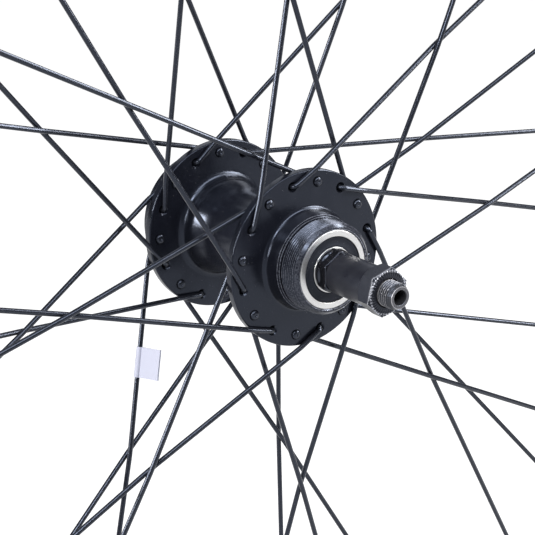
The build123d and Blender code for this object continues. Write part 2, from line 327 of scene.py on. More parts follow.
class Finish:
    """A Principled material and short calls that add procedural nodes to it."""

    def __init__(self, name, color, roughness, metallic=0.0):
        self.material = bpy.data.materials.new(name)
        self.material.use_nodes = True
        self.tree = self.material.node_tree
        self.shader = self.tree.nodes["Principled BSDF"]
        self.shader.inputs["Base Color"].default_value = (*color, 1)
        self.shader.inputs["Roughness"].default_value = roughness
        self.shader.inputs["Metallic"].default_value = metallic
        self.where = self.tree.nodes.new("ShaderNodeTexCoord").outputs["Object"]

    def node(self, kind, **values):
        """A new node with its properties set."""
        made = self.tree.nodes.new(kind)
        for name, value in values.items():
            setattr(made, name, value)
        return made

    def link(self, source, target):
        """Connect an output to an input."""
        self.tree.links.new(source, target)

    def noise(self, size_mm, detail=4.0, stretch=(1, 1, 1)):
        """Noise with features of about a size in millimetres, stretched along the axes."""
        scaled = self.node("ShaderNodeMapping")
        scaled.inputs["Scale"].default_value = stretch
        self.link(self.where, scaled.inputs["Vector"])
        made = self.node("ShaderNodeTexNoise")
        made.inputs["Scale"].default_value = 1 / (size_mm * MM)
        made.inputs["Detail"].default_value = detail
        self.link(scaled.outputs["Vector"], made.inputs["Vector"])
        return made.outputs["Fac"]

    def rings(self, size_mm):
        """Noise that changes only with the distance from the axle, as turning marks do."""
        split = self.node("ShaderNodeSeparateXYZ")
        self.link(self.where, split.inputs[0])
        flat = self.node("ShaderNodeCombineXYZ")
        self.link(split.outputs["X"], flat.inputs["X"])
        self.link(split.outputs["Z"], flat.inputs["Z"])
        length = self.node("ShaderNodeVectorMath", operation="LENGTH")
        self.link(flat.outputs[0], length.inputs[0])
        made = self.node("ShaderNodeTexNoise", noise_dimensions="1D")
        made.inputs["Scale"].default_value = 1 / (size_mm * MM)
        made.inputs["Detail"].default_value = 3.0
        self.link(length.outputs["Value"], made.inputs["W"])
        return made.outputs["Fac"]

    def attribute(self, name):
        """A value stored on the mesh's points."""
        return self.node("ShaderNodeAttribute", attribute_name=name).outputs["Fac"]

    def span(self, source, low, high, to_low=0.0, to_high=1.0):
        """Map a value's range onto another one, clamped."""
        made = self.node("ShaderNodeMapRange")
        self.link(source, made.inputs["Value"])
        made.inputs["From Min"].default_value = low
        made.inputs["From Max"].default_value = high
        made.inputs["To Min"].default_value = to_low
        made.inputs["To Max"].default_value = to_high
        return made.outputs["Result"]

    def times(self, first, second):
        """The product of two values."""
        made = self.node("ShaderNodeMath", operation="MULTIPLY")
        self.link(first, made.inputs[0])
        self.link(second, made.inputs[1])
        return made.outputs[0]

    def colors(self, share, first, second):
        """Two colours mixed by a share."""
        made = self.node("ShaderNodeMix", data_type="RGBA")
        self.link(share, made.inputs["Factor"])
        for socket, value in ((made.inputs[6], first), (made.inputs[7], second)):
            if isinstance(value, tuple):
                socket.default_value = (*value, 1)
            else:
                self.link(value, socket)
        return made.outputs[2]

    def bump(self, height, depth_mm, strength):
        """The surface's normal with a relief of a depth in millimetres."""
        made = self.node("ShaderNodeBump")
        made.inputs["Strength"].default_value = strength
        made.inputs["Distance"].default_value = depth_mm * MM
        self.link(height, made.inputs["Height"])
        return made.outputs["Normal"]

    def use(self, **sockets):
        """Connect outputs to the shader's inputs, and return the finished material."""
        for name, source in sockets.items():
            self.link(source, self.shader.inputs[name.replace("_", " ")])
        return self.material


# Black finishes reflect a little more blue than red, and their colours lean blue too: a painted
# cool cast standing for the cool light round the hub.
painted_cool_cast = (0.66, 0.76, 1.0, 1)


def black_coat(name, color, roughness, gloss):
    """A dark dielectric finish with a weak reflection, tinted blue as a painted cool cast."""
    finish = Finish(name, color, roughness)
    finish.shader.inputs["Specular IOR Level"].default_value = gloss
    finish.shader.inputs["Specular Tint"].default_value = painted_cool_cast
    return finish


def black_anodised():
    """Satin black anodising with a few specks of dust, broken through where it is worn, and
    lightened the same way as a painted highlight on the thread crests, the lip and the stop edges.
    """
    finish = black_coat("black_anodised", (0.0035, 0.004, 0.0062), 0.22, 0.33)
    cloud = finish.noise(7.0)
    fine = finish.noise(0.12, 3.0)
    specks = finish.span(finish.noise(0.55, 2.0), 0.74, 0.78)
    bare = finish.attribute("wear")
    broken = finish.span(finish.noise(0.5, 4.0), 0.40, 0.60)
    worn = finish.times(bare, broken)
    black = finish.colors(cloud, (0.0026, 0.0030, 0.0050), (0.0048, 0.0053, 0.0078))
    dusty = finish.colors(specks, black, (0.085, 0.083, 0.085))
    # Light bare metal where the 'wear' value is high: wear, and on the shell also a painted
    # highlight on the crests, lip and stop edges.
    color = finish.colors(worn, dusty, (0.36, 0.37, 0.43))
    rough = finish.span(cloud, 0.3, 0.7, 0.19, 0.26)
    normal = finish.bump(fine, 0.002, 0.5)
    return finish.use(Base_Color=color, Roughness=rough, Metallic=worn, Normal=normal)


def black_steel():
    """Blackened steel, bare on its worn edges."""
    finish = black_coat("black_steel", (0.006, 0.007, 0.010), 0.28, 0.27)
    bare = finish.attribute("wear")
    broken = finish.span(finish.noise(0.35, 4.0), 0.36, 0.56)
    worn = finish.times(bare, broken)
    cloud = finish.noise(5.0)
    black = finish.colors(cloud, (0.005, 0.0055, 0.0085), (0.010, 0.010, 0.012))
    color = finish.colors(worn, black, (0.50, 0.51, 0.56))
    rough = finish.span(cloud, 0.3, 0.7, 0.27, 0.36)
    normal = finish.bump(finish.noise(0.1, 3.0), 0.005, 0.5)
    return finish.use(Base_Color=color, Roughness=rough, Metallic=worn, Normal=normal)


def axle_steel():
    """Dark plated steel whose ends and thread crests have lost their plating; the end's rim is also
    lightened as a painted highlight.
    """
    finish = black_coat("axle_steel", (0.012, 0.013, 0.016), 0.3, 0.3)
    bare = finish.attribute("wear")
    mottle = finish.noise(0.35, 4.0)
    dark = finish.colors(mottle, (0.009, 0.010, 0.013), (0.022, 0.021, 0.021))
    steel = finish.colors(mottle, (0.20, 0.20, 0.22), (0.46, 0.45, 0.46))
    color = finish.colors(bare, dark, steel)
    rough = finish.span(mottle, 0.3, 0.7, 0.26, 0.42)
    normal = finish.bump(finish.noise(0.12, 3.0), 0.006, 0.5)
    return finish.use(Base_Color=color, Roughness=rough, Metallic=bare, Normal=normal)


def gloss_black():
    """Glossy black with dust on it."""
    finish = black_coat("gloss_black", (0.004, 0.004, 0.005), 0.12, 0.5)
    dust = finish.span(finish.noise(0.45, 6.0), 0.66, 0.73)
    color = finish.colors(dust, (0.004, 0.004, 0.005), (0.13, 0.125, 0.12))
    rough = finish.span(dust, 0, 1, 0.12, 0.5)
    return finish.use(Base_Color=color, Roughness=rough)


def bearing_steel():
    """Ground steel with turning marks round the axle and faint stains."""
    finish = Finish("bearing_steel", (0.60, 0.60, 0.60), 0.3, 1.0)
    marks = finish.rings(0.10)
    stain = finish.noise(2.5)
    streaked = finish.colors(marks, (0.40, 0.40, 0.40), (0.72, 0.72, 0.73))
    color = finish.colors(finish.span(stain, 0.35, 0.8), streaked, (0.56, 0.56, 0.56))
    rough = finish.span(marks, 0.3, 0.7, 0.24, 0.40)
    normal = finish.bump(marks, 0.012, 0.7)
    return finish.use(Base_Color=color, Roughness=rough, Normal=normal)


def seal_rubber():
    """Matt black rubber with dust on it."""
    finish = black_coat("seal_rubber", (0.008, 0.009, 0.0125), 0.48, 0.1)
    cloud = finish.noise(2.5)
    dust = finish.span(finish.noise(0.4, 5.0), 0.66, 0.76)
    rubber = finish.colors(cloud, (0.008, 0.009, 0.0125), (0.014, 0.015, 0.019))
    color = finish.colors(dust, rubber, (0.12, 0.12, 0.13))
    rough = finish.span(cloud, 0.3, 0.7, 0.44, 0.58)
    normal = finish.bump(finish.noise(0.15, 4.0), 0.01, 0.6)
    return finish.use(Base_Color=color, Roughness=rough, Normal=normal)


def spoke_steel():
    """Black spoke wire with small scuffs."""
    finish = black_coat("spoke_steel", (0.005, 0.0055, 0.0075), 0.2, 0.42)
    cloud = finish.noise(9.0)
    scuffs = finish.span(finish.noise(0.35, 3.0), 0.68, 0.76)
    black = finish.colors(cloud, (0.004, 0.0045, 0.0065), (0.008, 0.0085, 0.011))
    color = finish.colors(scuffs, black, (0.09, 0.09, 0.10))
    rough = finish.span(cloud, 0.3, 0.7, 0.17, 0.26)
    normal = finish.bump(finish.noise(0.2, 3.0), 0.006, 0.5)
    return finish.use(Base_Color=color, Roughness=rough, Normal=normal)


def nipple_plate():
    """Dark plated brass."""
    finish = black_coat("nipple_plate", (0.03, 0.03, 0.033), 0.28, 0.5)
    finish.shader.inputs["Metallic"].default_value = 0.5
    cloud = finish.noise(1.5)
    color = finish.colors(cloud, (0.015, 0.015, 0.018), (0.04, 0.04, 0.045))
    rough = finish.span(cloud, 0.3, 0.7, 0.24, 0.4)
    return finish.use(Base_Color=color, Roughness=rough)


def rim_paint():
    """Matt black paint."""
    finish = black_coat("rim_paint", (0.006, 0.006, 0.008), 0.56, 0.14)
    cloud = finish.noise(20.0)
    color = finish.colors(cloud, (0.005, 0.005, 0.007), (0.009, 0.009, 0.011))
    rough = finish.span(cloud, 0.3, 0.7, 0.52, 0.6)
    normal = finish.bump(finish.noise(0.5, 3.0), 0.006, 0.4)
    return finish.use(Base_Color=color, Roughness=rough, Normal=normal)


def tag_paper():
    """Plain white paper with fibres that run across the tag, coloured grey-blue: painted shade with
    a cool cast.
    """
    # The paper's grey-blue colours are painted shade and a painted cool cast on white paper.
    finish = Finish("tag_paper", (0.25, 0.26, 0.32), 0.7)
    fibres = finish.noise(0.4, 6.0, (1, 3, 1))
    color = finish.colors(fibres, (0.225, 0.232, 0.29), (0.265, 0.273, 0.335))
    rough = finish.span(fibres, 0.3, 0.7, 0.6, 0.8)
    normal = finish.bump(fibres, 0.03, 0.5)
    return finish.use(Base_Color=color, Roughness=rough, Normal=normal)


def cage_nylon():
    """Natural moulded nylon."""
    finish = Finish("cage_nylon", (0.35, 0.28, 0.18), 0.5)
    cloud = finish.noise(1.0)
    color = finish.colors(cloud, (0.30, 0.24, 0.15), (0.42, 0.34, 0.23))
    rough = finish.span(cloud, 0.3, 0.7, 0.45, 0.6)
    return finish.use(Base_Color=color, Roughness=rough)


materials = {
    "black_anodised": black_anodised(),
    "black_steel": black_steel(),
    "axle_steel": axle_steel(),
    "gloss_black": gloss_black(),
    "bearing_steel": bearing_steel(),
    "seal_rubber": seal_rubber(),
    "spoke_steel": spoke_steel(),
    "nipple_brass": nipple_plate(),
    "rim_paint": rim_paint(),
    "tag_paper": tag_paper(),
    "cage_plastic": cage_nylon(),
}


def set_wear(piece, rule):
    """Store a 'wear' value on each point, from a rule on its radius, y and angle in millimetres; on
    the shell and the axle it holds painted highlights as well as wear.
    """
    mesh = piece.data
    co = np.zeros(len(mesh.vertices) * 3, np.float32)
    mesh.vertices.foreach_get("co", co)
    co = co.reshape(-1, 3) / MM
    radius = np.hypot(co[:, 0], co[:, 2])
    angle = np.arctan2(co[:, 2], co[:, 0])
    worn = rule(radius, co[:, 1], angle)
    wear = mesh.attributes.new("wear", "FLOAT", "POINT")
    wear.data.foreach_set("value", worn.astype(np.float32))


# ---------------------------------------------------------------- camera, lights, floor

# The eye looks along a fixed direction, so the view is set by its place and two angles.
eye = Vector((-345.2, -471.7, 187.0)) * MM
view_azimuth = math.radians(-35.93)
view_elevation = math.radians(18.53)
focal_length = 107.96
camera_data = bpy.data.cameras.new("camera")
camera_data.lens = focal_length
camera_data.sensor_width = 36.0
camera_data.clip_start = 0.01
camera = bpy.data.objects.new("camera", camera_data)
camera.location = eye
camera.rotation_euler = (math.pi / 2 - view_elevation, 0, view_azimuth)
bpy.context.scene.collection.objects.link(camera)
bpy.context.scene.camera = camera


def area_light(name, azimuth, elevation, distance, size, brightness, color):
    """A soft rectangular light that faces the hub from a direction; lengths are in metres.

    The brightness is what a mirror shows of the light, whatever its size and distance.
    """
    data = bpy.data.lights.new(name, "AREA")
    data.shape = "RECTANGLE"
    data.size, data.size_y = size
    data.energy = brightness * math.pi * size[0] * size[1]
    data.color = color
    light = bpy.data.objects.new(name, data)
    turned_by, raised_by = math.radians(azimuth), math.radians(elevation)
    across = distance * math.cos(raised_by)
    light.location = (
        across * math.cos(turned_by),
        across * math.sin(turned_by),
        distance * math.sin(raised_by),
    )
    light.rotation_euler = (-light.location).to_track_quat("-Z", "Y").to_euler()
    bpy.context.scene.collection.objects.link(light)


window_color = (1.0, 0.98, 0.95)
softbox_color = (0.97, 0.98, 1.0)
panel_color = (0.93, 0.96, 1.0)
area_light("key_above", 215, 62, 1.4, (0.8, 0.5), 6, panel_color)
area_light("window_left", 159, 15, 1.5, (0.32, 0.6), 52, window_color)
area_light("window_front_left", 190, 16, 1.5, (0.25, 0.5), 34, window_color)
area_light("softbox_upper_left", 222, 42, 1.5, (0.45, 0.28), 36, softbox_color)
area_light("window_right", -32, 30, 1.5, (0.5, 0.75), 15, window_color)
area_light("window_low_right", -44, 17, 1.5, (0.3, 0.32), 44, window_color)
area_light("softbox_front_top", 280, 52, 1.4, (1.2, 0.35), 14, softbox_color)
area_light("softbox_right", -7, 42, 1.5, (0.3, 0.3), 44, softbox_color)
area_light("panel_back", 66, 34, 1.6, (1.3, 0.8), 0.9, panel_color)

# The eye sees a white room past the floor; surfaces reflect a dim cool one.
room_color = (0.72, 0.82, 1.0, 1)
room_strength = 0.16
world = bpy.data.worlds.new("studio")
world.use_nodes = True
world_tree = world.node_tree
room = world_tree.nodes["Background"]
room.inputs["Color"].default_value = room_color
room.inputs["Strength"].default_value = room_strength
white = world_tree.nodes.new("ShaderNodeBackground")
white.inputs["Color"].default_value = (1, 1, 1, 1)
white.inputs["Strength"].default_value = 1.0
seen = world_tree.nodes.new("ShaderNodeLightPath")
either = world_tree.nodes.new("ShaderNodeMixShader")
world_tree.links.new(seen.outputs["Is Camera Ray"], either.inputs["Fac"])
world_tree.links.new(room.outputs[0], either.inputs[1])
world_tree.links.new(white.outputs[0], either.inputs[2])
world_tree.links.new(either.outputs[0], world_tree.nodes["World Output"].inputs["Surface"])
bpy.context.scene.world = world
bpy.context.scene.view_settings.view_transform = "Standard"

# The floor is mostly lit from itself, so the strong lights don't brighten it unevenly.
floor_drop = 0.319
floor_reach = 8
floor_corners = ((-1, -1), (1, -1), (1, 1), (-1, 1))
floor_mesh = bpy.data.meshes.new("floor")
floor_mesh.from_pydata(
    [(x * floor_reach, y * floor_reach, -floor_drop) for x, y in floor_corners],
    [],
    [(0, 1, 2, 3)],
)
floor = bpy.data.objects.new("floor", floor_mesh)
floor_finish = Finish("floor", (0.12, 0.12, 0.12), 1.0)
floor_finish.shader.inputs["Specular IOR Level"].default_value = 0.0
floor_finish.shader.inputs["Emission Color"].default_value = (1, 1, 1, 1)
floor_finish.shader.inputs["Emission Strength"].default_value = 0.97
floor_mesh.materials.append(floor_finish.material)
bpy.context.scene.collection.objects.link(floor)


# ---------------------------------------------------------------- hub shell


def hub_shell():
    """The shell's turned outline with its freewheel thread, and its holes cut out."""
    mount_start = rotor_face - rotor_mount_depth
    lead_radius = thread_radius - thread_lead_height
    row_spacing = 0.13
    thread_rows = [
        (thread_radius, y) for y in steps_between(drive_shell_end, thread_end, row_spacing)
    ]
    inside = [
        (bearing_radius, left_shell_end),
        (bearing_radius, left_bearing_face - bearing_width),
        (shell_bore_radius, left_bearing_face - bearing_width),
        (shell_bore_radius, drive_bearing_face + bearing_width),
        (bearing_radius, drive_bearing_face + bearing_width),
        (bearing_radius, drive_shell_end + lip_round + 0.05),
        (bearing_radius + lip_round, drive_shell_end),
        (bearing_radius + lip_width, drive_shell_end),
        (bearing_radius + lip_width + 0.1, drive_shell_end),
    ]
    outside = rounded(
        [
            (undercut_radius, thread_end),
            (undercut_radius, stop_face - stop_step_depth, 0.1),
            (stop_radius - stop_step_width, stop_face - stop_step_depth, 0.22),
            (stop_radius - stop_step_width, stop_face, 0.1),
            (stop_radius, stop_face, 0.32),
            (stop_radius + boss_spread, drive_flange_face, boss_fillet),
            (flange_radius, drive_flange_face, flange_edge_round),
            (flange_radius, drive_flange_inner, flange_edge_round),
            (barrel_shoulder_radius, drive_flange_inner, barrel_fillet),
            (barrel_shoulder_radius, drive_flange_inner + shoulder_width, shoulder_round),
            (barrel_radius, drive_flange_inner + barrel_end_width, barrel_end_round),
            (barrel_radius, left_flange_inner - barrel_end_width, barrel_end_round),
            (barrel_shoulder_radius, left_flange_inner - shoulder_width, shoulder_round),
            (barrel_shoulder_radius, left_flange_inner, barrel_fillet),
            (flange_radius, left_flange_inner, flange_edge_round),
            (flange_radius, left_flange_face, flange_edge_round),
            (rotor_neck_radius, left_flange_face, rotor_neck_fillet),
            (rotor_neck_radius, mount_start, rotor_neck_fillet),
            (rotor_mount_radius, mount_start, 0.6),
            (rotor_mount_radius, rotor_face, 0.4),
            (rotor_spigot_radius, rotor_face),
            (rotor_spigot_radius, left_shell_end, 0.3),
        ]
        + inside
    )[: -len(inside)]

    def threaded(radius, along, angle):
        on_thread = (radius > thread_radius - 0.01) & (radius < thread_radius + 0.01)
        on_thread &= along < thread_end + 0.01
        crest = screw(radius, along, angle, thread_radius, thread_depth, thread_pitch)
        slope = (thread_radius - lead_radius) / (thread_start - drive_shell_end)
        cone = lead_radius + (along - drive_shell_end) * slope
        return np.where(on_thread, np.minimum(crest, cone), radius), along

    piece = turned("hub_shell_detail", thread_rows + list(outside) + inside, 256, threaded)
    return cut(piece, hub_holes())


def hole_cutter(outline, angle, circle_radius):
    """Points and faces of a plug of (radius, y) rows, on a circle round the axle."""
    columns = 24
    points = []
    for radius, y in outline:
        for step in range(columns):
            turned_by = 2 * math.pi * step / columns
            across = circle_radius + radius * math.cos(turned_by)
            points.append((across, y, radius * math.sin(turned_by)))
    faces = ring_faces(len(outline), columns, closed_rows=False)
    faces.append(tuple(range(columns)))
    faces.append(tuple(range((len(outline) - 1) * columns, len(outline) * columns)))
    return turn_points(np.array(points), angle), faces


def hub_holes():
    """Countersunk spoke holes in both flanges and the six rotor bolt holes."""
    past_face = 0.5
    wide = spoke_hole_radius + spoke_hole_sink + past_face
    parts = []
    for first_angle, low, high in (
        (drive_hole_angle, drive_flange_face, drive_flange_inner),
        (left_hole_angle, left_flange_inner, left_flange_face),
    ):
        outline = [
            (wide, low - past_face),
            (spoke_hole_radius, low + spoke_hole_sink),
            (spoke_hole_radius, high - spoke_hole_sink),
            (wide, high + past_face),
        ]
        for index in range(holes_per_flange):
            angle = first_angle - hole_pitch * index
            parts.append(hole_cutter(outline, angle, spoke_circle_radius))
    chamfer = 0.3
    bolt_outline = [
        (rotor_bolt_radius, rotor_face - rotor_bolt_depth),
        (rotor_bolt_radius, rotor_face - chamfer),
        (rotor_bolt_radius + chamfer + past_face, rotor_face + past_face),
    ]
    for index in range(rotor_bolt_count):
        angle = 360 / rotor_bolt_count * index
        parts.append(hole_cutter(bolt_outline, angle, rotor_bolt_circle_radius))
    return joined("holes", parts)


def shell_wear_and_highlights(radius, y, angle):
    """Worn thread crests, most of all near the open end, and the edges of the lip and the stop; the
    crest lines, the lip and the stop edges are also lightened as a painted highlight.
    """
    crest_height = 0.14
    worn_length = 1.6
    crest = np.clip((radius - (thread_radius - crest_height)) / crest_height, 0, 1)
    end = np.clip((thread_start + worn_length - y) / worn_length, 0, 1)
    on_thread = (y < thread_end + 0.05) & (radius > bearing_radius + lip_width + 0.3)
    cone = on_thread & (y < thread_start + 0.1)
    # The lip is lightened: partly wear, partly a painted highlight.
    lip_wear_and_highlight = (y < drive_shell_end + 0.02) & (radius < bearing_radius + lip_width + 0.02)
    lip_wear_and_highlight &= radius > bearing_radius + 0.2
    # The stop's two edges are lightened as a painted highlight.
    stop = (np.abs(y - stop_face + 0.1) < 0.62) & (y < stop_face + 0.22)
    outer_edge_highlight = stop & (np.abs(radius - stop_radius + 0.12) < 0.14)
    step_edge_highlight = stop & (np.abs(radius - stop_radius + 0.83) < 0.1)
    stop_edge_highlight = outer_edge_highlight | step_edge_highlight
    # Crests: partly wear near the open end, partly a painted highlight on every crest line.
    worn = on_thread * crest * (0.3 + 0.3 * end) + 0.5 * lip_wear_and_highlight + 0.14 * stop_edge_highlight + 0.06 * cone
    return np.clip(worn, 0, 1)


shell = hub_shell()
set_wear(shell, shell_wear_and_highlights)
place(shell, "wheel", "black_anodised", materials["black_anodised"], "hub_shell")


# ---------------------------------------------------------------- bearings


# One seal's outline, as radii and depths below the bearing's face
seal_outline = [
    (inner_land_radius + 0.06, 0.95),
    (inner_land_radius + 0.06, 0.30),
    (inner_land_radius + 0.55, 0.22),
    (inner_land_radius + 0.85, 0.42),
    (outer_land_radius - 1.1, 0.42),
    (outer_land_radius - 0.75, 0.30),
    (outer_land_radius - 0.30, 0.30),
    (outer_land_radius - 0.12, 0.55),
    (outer_land_radius - 0.02, 0.95),
]


def bearing_parts(side, start):
    """Rings and seals of one bearing, from its lower face along +Y."""
    end = start + bearing_width
    outside = bearing_radius - 0.05
    outer = turned(
        f"{side}_outer_ring_detail",
        rounded(
            [
                (outer_land_radius, start, 0.12),
                (outside, start, 0.3),
                (outside, end, 0.3),
                (outer_land_radius, end, 0.12),
                (outer_land_radius, end - seal_seat_depth),
                (race_radius, end - seal_seat_depth),
                (race_radius, start + seal_seat_depth),
                (outer_land_radius, start + seal_seat_depth),
            ]
        ),
    )
    place(outer, "wheel", "bearing_steel", materials["bearing_steel"], f"{side}_bearing_outer_ring")
    inner = turned(
        f"{side}_inner_ring_detail",
        rounded(
            [
                (axle_radius, start, 0.3),
                (inner_land_radius, start, 0.22),
                (inner_land_radius, end, 0.22),
                (axle_radius, end, 0.3),
            ]
        ),
    )
    place(
        inner,
        "axle_group",
        "bearing_steel",
        materials["bearing_steel"],
        f"{side}_bearing_inner_ring",
    )
    columns = 192
    angles = np.linspace(0, 2 * math.pi, columns, endpoint=False)
    parts = []
    for face, inward in ((start, 1), (end, -1)):
        rows = [(radius, face + inward * depth) for radius, depth in seal_outline]
        parts.append((ring_points(rows, angles), ring_faces(len(rows), columns)))
    seals = joined(f"{side}_seals_detail", parts, 50)
    place(seals, "wheel", "seal_rubber", materials["seal_rubber"], f"{side}_bearing_seals")


bearing_parts("drive", drive_bearing_face)
bearing_parts("left", left_bearing_face - bearing_width)


# ---------------------------------------------------------------- axle group


def axle():
    """Hollow axle, threaded where it stands out of the locknuts, with coned ends."""
    bore_edge = skewer_bore_radius + skewer_bore_chamfer
    lead = 0.5
    end_rows = [
        (bore_edge, axle_end),
        (axle_face_radius - 0.22, axle_end),
        (axle_face_radius - 0.1, axle_end),
    ]
    side = steps_between(-axle_end, -locknut_face + 2.0, 0.08)
    rows = [(radius, -y) for radius, y in end_rows]
    rows += [(axle_radius, y) for y in side]
    rows += [(axle_radius, -y) for y in side[::-1]]
    rows += end_rows[::-1]
    rows += [(skewer_bore_radius, axle_end - skewer_bore_chamfer)]
    rows += [(skewer_bore_radius, -axle_end + skewer_bore_chamfer)]

    def threaded(radius, along, angle):
        on_thread = radius > axle_radius - 0.01
        depth = axle_thread_depth
        crest = screw(radius, along, angle, axle_thread_radius, depth, axle_thread_pitch)
        cone = axle_face_radius + (axle_end - np.abs(along)) * lead
        covered = np.abs(along) < locknut_face + 0.2
        shaped = np.minimum(np.where(covered, axle_thread_radius, crest), cone)
        return np.where(on_thread, shaped, radius), along

    return turned("axle_detail", rows, 144, threaded)


def axle_wear_and_highlight(radius, y, angle):
    """Bare metal on the end face, brightest at its rim, and along the crests of the thread; the rim
    is partly wear, partly a painted highlight.
    """
    from_end = axle_end - np.abs(y)
    crest = np.clip((radius - (axle_thread_radius - 0.1)) / 0.08, 0, 1)
    flat = (from_end < 0.01) & (radius > skewer_bore_radius + 0.05)
    # The end's rim: partly wear, partly a painted highlight.
    rim = (from_end < 0.12) & (radius > axle_face_radius - 0.15)
    return np.clip(0.8 * crest + 0.12 * flat + 0.8 * rim, 0, 1)


axle_piece = axle()
set_wear(axle_piece, axle_wear_and_highlight)
place(axle_piece, "axle_group", "black_steel", materials["axle_steel"], "axle")


def hex_radius(flats, phase, angle):
    """Distance from the axle to the side of a hexagon in a direction."""
    sector = math.pi / 3
    offset = (angle - math.radians(phase)) % sector - sector / 2
    return flats / 2 / np.cos(offset)


def serrated_hex(name, flats, phase, face, back, body_rows, corner_radius):
    """A hexagon head with a toothed end face; body_rows of (y, radius) go on from its back."""
    teeth = 42
    columns = teeth * 8
    outward = math.copysign(1, face)
    angles = np.linspace(0, 2 * math.pi, columns, endpoint=False) + math.radians(phase)
    shares = [0.0, 0.08, 0.2, 0.35, 0.5, 0.62, 0.72, 0.8, 0.86, 0.91, 0.95, 0.98, 1.0]
    hole = axle_radius + 0.25
    inner = hole + 0.25
    tooth_start = 6.1
    tooth_length = 1.6
    tooth_depth = 0.3
    chamfer_radius = flats / 2 - 0.05
    chamfer_slope = 0.5

    def side_radius(angle):
        return np.minimum(hex_radius(flats, phase, angle), corner_radius)

    def notch(angle):
        """How deep the toothing is at an angle, from 0 on a crest to 1 in a root."""
        wave = (angle - math.radians(phase)) * teeth / (2 * math.pi) % 1.0
        return np.clip(1.6 * (1 - np.abs(wave - 0.5) * 2) - 0.45, 0, 1)

    edge = side_radius(angles)
    rows = []
    for share in shares:
        radius = inner + (edge - inner) * share
        toothed = np.clip((radius - tooth_start) / tooth_length, 0, 1)
        sunk = np.clip((radius - chamfer_radius) * chamfer_slope, 0, None)
        rows.append((radius, face - outward * (sunk + tooth_depth * notch(angles) * toothed)))
    rows += [(edge, y) for y in steps_between(face - outward * 1.25, back, 0.3)]
    rows += [(np.minimum(edge, cone), y) for y, cone in body_rows]
    last_y = body_rows[-1][0]
    rows += [(hole, last_y), (hole, face - outward * 0.3)]
    points = ring_points(rows, angles)
    piece = finish_mesh(name, points, ring_faces(len(rows), columns), 38)

    def wear(radius, y, angle):
        depth = np.abs(face - y)
        crest = 1 - notch(angle)
        tips = np.clip(1 - np.abs(radius - chamfer_radius) / 0.4, 0, 1) * crest
        tips *= depth < 0.3
        rim = np.clip(1 - np.abs(side_radius(angle) - radius) / 0.12, 0, 1) * (depth < 1.15)
        return np.clip(1.2 * tips + 0.5 * rim, 0, 1)

    set_wear(piece, wear)
    return piece


hex_end = drive_hex_back - drive_hex_run_out
hex_body = [
    (y, spacer_radius + (drive_hex_back - y) * drive_hex_back_slope)
    for y in steps_between(hex_end, drive_hex_back, 0.1)
]
hex_body += [
    (drive_collar_end - 0.35, spacer_radius),
    (drive_collar_end - 0.1, spacer_radius - 0.1),
    (drive_collar_end, spacer_radius - 0.35),
]
drive_hex = serrated_hex(
    "drive_hex_detail",
    drive_hex_flats,
    drive_hex_phase,
    -locknut_face,
    hex_end,
    hex_body,
    drive_hex_corner_radius,
)
place(drive_hex, "axle_group", "black_steel", materials["black_steel"], "drive_hex_spacer")
left_nut = serrated_hex(
    "left_locknut_detail",
    left_hex_flats,
    0,
    locknut_face,
    left_collar_end + 1.2,
    [(left_collar_end + 0.6, left_hex_base_radius + 0.8), (left_collar_end, left_hex_base_radius)],
    left_hex_corner_radius,
)
place(left_nut, "axle_group", "black_steel", materials["black_steel"], "left_locknut")


def thin_nut(name, flats, corner_radius, phase, start, end):
    """A hexagon nut with turned-down corners and rounded edges on a round base at its end."""
    columns = 288
    angles = np.linspace(0, 2 * math.pi, columns, endpoint=False) + math.radians(phase)
    side = np.minimum(hex_radius(flats, phase, angles), corner_radius)
    base_radius = 8.2
    base_height = 1.5
    inset = 2.0
    front = rounded([(-inset, start), (0, start, 0.3), (0, end)])[1:-1]
    rows = [(collar_bore_radius, start)] + [(side + offset, y) for offset, y in front]
    for y in steps_between(start + 0.6, end - base_height + 0.5, 0.25):
        base = base_radius - np.clip(end - base_height + 0.4 - y, 0, None) ** 2 * 1.2
        rows.append((np.maximum(side, base), y))
    rows += [(np.maximum(side, base_radius), end - 0.2), (np.maximum(side, base_radius) - 0.2, end)]
    rows.append((collar_bore_radius, end))
    return finish_mesh(name, ring_points(rows, angles), ring_faces(len(rows), columns), 38)


drive_nut = thin_nut(
    "drive_collar_detail",
    drive_collar_flats,
    drive_collar_corner_radius,
    drive_collar_phase,
    drive_collar_end,
    drive_bearing_face,
)
place(drive_nut, "axle_group", "black_anodised", materials["gloss_black"], "drive_collar")
left_collar = turned(
    "left_collar_detail",
    rounded(
        [
            (collar_bore_radius, left_bearing_face),
            (collar_radius, left_bearing_face, 0.25),
            (collar_radius, left_collar_end, 0.25),
            (collar_bore_radius, left_collar_end),
        ]
    ),
)
place(left_collar, "axle_group", "black_anodised", materials["gloss_black"], "left_collar")


# ---------------------------------------------------------------- spokes


def bend(points, corner, before, after, radius, steps):
    """Add an arc round a corner between two directions to a list of points."""
    before = unit(before)
    after = unit(after)
    half = math.acos(float(np.clip(before @ after, -1, 1))) / 2
    reach = radius * math.tan(half)
    start = corner - before * reach
    centre = start + radius * unit(after - before * (after @ before))
    side = start - centre
    for step in range(steps + 1):
        angle = 2 * half * step / steps
        points.append(centre + side * math.cos(angle) + before * radius * math.sin(angle))


def crossing_point(direction):
    """Where a spoke from angle 0 meets the last spoke that it crosses, at y = 0."""
    hub = polar(spoke_circle_radius, 0, 0)
    seat = polar(spoke_seat_radius, direction * rim_lead, 0)
    slope = math.tan(math.radians(last_crossing_lead)) * direction
    share = slope * hub[0] / ((seat[2] - hub[2]) - slope * (seat[0] - hub[0]))
    return hub + (seat - hub) * share


